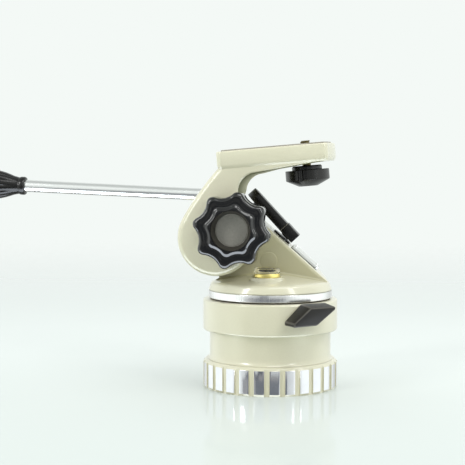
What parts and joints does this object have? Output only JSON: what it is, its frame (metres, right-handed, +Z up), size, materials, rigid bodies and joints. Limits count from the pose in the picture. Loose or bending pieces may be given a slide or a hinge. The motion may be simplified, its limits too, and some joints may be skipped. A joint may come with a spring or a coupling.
{
  "type": "pan and tilt head",
  "caption": "Tripod pan and tilt head: swan-neck platform arm, pan bar with fluted grip, lobed tilt knob, two lock levers and a bull's-eye level on a round base.",
  "frame": {"origin": "centre of the tripod thread on the plane of the clamp ring's rim, which the head stands on", "axes": "+Z up along the pan axis, +X to the platform's nose, the pan bar leaves towards -X, tilt axis along Y"},
  "size_m": [0.3056, 0.0987, 0.159],
  "materials": {
    "enamel": "gloss cream enamel on cast aluminium",
    "alloy": "turned bright",
    "bright_bar": "satin plated",
    "steel": "machined",
    "brass": "lacquered bright",
    "bronze": "machined",
    "bakelite": "polished black bakelite",
    "black_enamel": "black stove enamel on a zinc die casting",
    "fibre": "dark vulcanised fibre",
    "pad": "fine matt sheet",
    "lens": "clear",
    "fluid": "clear green-yellow",
    "disc": "plain grey, bare"
  },
  "bodies": {
    "base_body": {"base_casting": "enamel", "pan_bush": "bronze", "friction_washer": "fibre", "base_plate": "alloy", "base_screws": "steel", "ring_clip": "steel"},
    "ring_body": {"clamp_ring": "alloy"},
    "pan_body": {"pan_head_casting": "enamel", "pan_ring": "alloy", "pan_spindle": "steel", "spindle_washer": "steel", "spindle_nut": "steel", "flange_screws": "steel", "level_cup": "brass", "level_fluid": "fluid", "level_lens": "lens", "name_plate": "alloy", "plate_rivets": "alloy", "core_plug": "enamel", "tilt_bush_near": "bronze", "tilt_bush_far": "bronze"},
    "pan_lever_body": {"pan_lever": "black_enamel", "pan_lever_screw": "steel"},
    "pan_shoe_body": {"pan_brake_shoe": "brass"},
    "tilt_body": {"arm_casting": "enamel", "platform_pad": "pad", "tilt_shaft": "steel", "shaft_key": "steel", "tilt_washer": "fibre", "thrust_washer": "fibre", "knob_washer": "steel", "pan_bar": "bright_bar", "grip": "bakelite"},
    "knob_body": {"tilt_knob": "bakelite", "knob_insert": "brass", "knob_disc": "disc"},
    "tilt_lever_body": {"tilt_lever": "bakelite", "tilt_lever_screw": "steel"},
    "tilt_shoe_body": {"tilt_brake_shoe": "brass"},
    "screw_float_body": {"screw_clip": "steel"},
    "screw_body": {"camera_screw": "brass", "camera_knob": "bakelite"}
  },
  "joints": [
    {"name": "ring_turn", "type": "hinge", "parent": "base_body", "child": "ring_body", "pos_m": [0, 0, 0.009], "axis": [0, 0, 1], "continuous": true},
    {"name": "pan", "type": "hinge", "parent": "base_body", "child": "pan_body", "pos_m": [0, 0, 0.0577], "axis": [0, 0, 1], "continuous": true},
    {"name": "pan_lever_turn", "type": "hinge", "parent": "base_body", "child": "pan_lever_body", "pos_m": [0.02451, -0.03774, 0.0505], "axis": [0.5446, -0.8387, 0], "range_deg": [-100, 0]},
    {"name": "pan_shoe_press", "type": "slide", "parent": "base_body", "child": "pan_shoe_body", "axis": [-0.5446, 0.8387, 0], "range_m": [0, 0.0003]},
    {"name": "tilt", "type": "hinge", "parent": "pan_body", "child": "tilt_body", "pos_m": [-0.0206, 0, 0.1026], "axis": [0, -1, 0], "range_deg": [-45, 15]},
    {"name": "tilt_lever_turn", "type": "hinge", "parent": "pan_body", "child": "tilt_lever_body", "pos_m": [-0.0075, 0.012, 0.11465], "axis": [0.7361, 0, 0.6769], "range_deg": [0, 90]},
    {"name": "tilt_shoe_press", "type": "slide", "parent": "pan_body", "child": "tilt_shoe_body", "axis": [0.7361, 0, 0.6769], "range_m": [0, 0.0003]},
    {"name": "knob_turn", "type": "hinge", "parent": "tilt_body", "child": "knob_body", "pos_m": [-0.0206, -0.03, 0.1026], "axis": [0, -1, 0], "range_deg": [-45, 180]},
    {"name": "screw_float", "type": "slide", "parent": "tilt_body", "child": "screw_float_body", "axis": [-0.0819, 0, 0.9966], "range_m": [0, 0.0018]},
    {"name": "screw_turn", "type": "hinge", "parent": "screw_float_body", "child": "screw_body", "pos_m": [0.02411, 0, 0.13487], "axis": [-0.0819, 0, 0.9966], "continuous": true}
  ],
  "couplings": [
    {"joint": "pan_shoe_press", "follows": "pan_lever_turn", "m_per_rad": -0.00015915},
    {"joint": "tilt_shoe_press", "follows": "tilt_lever_turn", "m_per_rad": 0.00015915}
  ]
}
